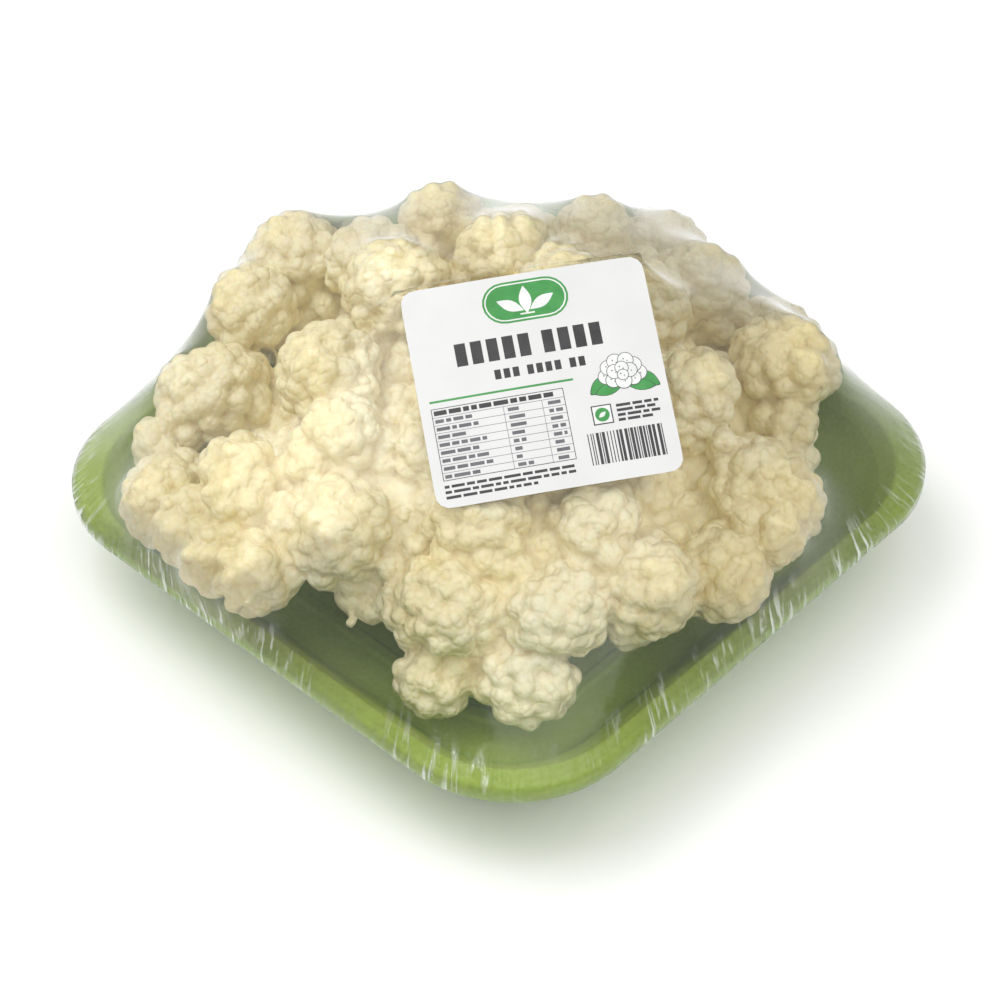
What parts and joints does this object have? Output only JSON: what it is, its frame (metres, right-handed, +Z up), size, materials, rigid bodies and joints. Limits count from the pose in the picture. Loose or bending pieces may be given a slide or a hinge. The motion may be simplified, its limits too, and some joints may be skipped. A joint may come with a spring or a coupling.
{
  "type": "packed cauliflower",
  "caption": "Trimmed whole cauliflower head on a square foam tray, overwrapped in clear stretch film with a printed paper label on top.",
  "frame": {"origin": "on the surface that the pack stands on, under the middle of the tray", "axes": "+Z up, with the tray's sides along X and Y; the label faces the +X -Y corner"},
  "size_m": [0.153, 0.1573, 0.0822],
  "materials": {
    "curd": "cream-yellow plant tissue, matte, finely granular, darker in the creases",
    "tray_foam": "light green expanded polystyrene, satin skin with fine bead grain",
    "clear_film": "clear glossy stretch film, taut over the curd",
    "label_paper": null
  },
  "bodies": {
    "root": {"cauliflower": "curd", "foam_tray": "tray_foam", "stretch_film": "clear_film", "label": "label_paper"}
  },
  "joints": []
}
